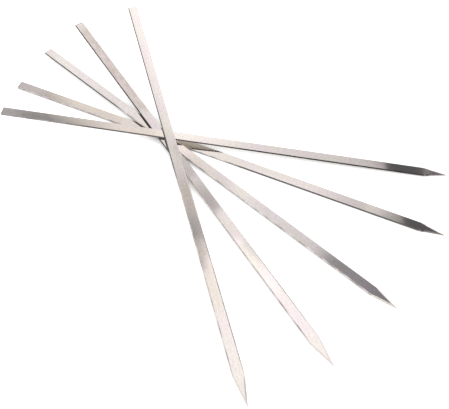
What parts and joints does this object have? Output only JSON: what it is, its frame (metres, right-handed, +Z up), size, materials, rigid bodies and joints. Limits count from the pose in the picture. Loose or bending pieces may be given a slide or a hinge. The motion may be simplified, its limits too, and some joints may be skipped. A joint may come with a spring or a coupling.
{
  "type": "kebab skewer",
  "caption": "Flat stainless steel kebab skewers with a blunt grip end and a ground V point, lying in a loose fan.",
  "frame": {"origin": "on the table, under the middle of the fan's bounding box", "axes": "+Z up from the table, +X to the picture's right, +Y away from the camera"},
  "size_m": [0.4496, 0.4222, 0.0188],
  "materials": {
    "stainless_steel": "satin, brushed along the length"
  },
  "bodies": {
    "bottom": {"bottom_skewer": "stainless_steel"},
    "second": {"second_skewer": "stainless_steel"},
    "middle": {"middle_skewer": "stainless_steel"},
    "fourth": {"fourth_skewer": "stainless_steel"},
    "top": {"top_skewer": "stainless_steel"}
  },
  "joints": [
    {"name": "second_lift", "type": "slide", "parent": "bottom", "child": "second", "axis": [0, 0, 1], "range_m": [0, 0.06]},
    {"name": "middle_lift", "type": "slide", "parent": "second", "child": "middle", "axis": [0, 0, 1], "range_m": [0, 0.06]},
    {"name": "fourth_lift", "type": "slide", "parent": "middle", "child": "fourth", "axis": [0, 0, 1], "range_m": [0, 0.06]},
    {"name": "top_lift", "type": "slide", "parent": "fourth", "child": "top", "axis": [0, 0, 1], "range_m": [0, 0.06]}
  ]
}
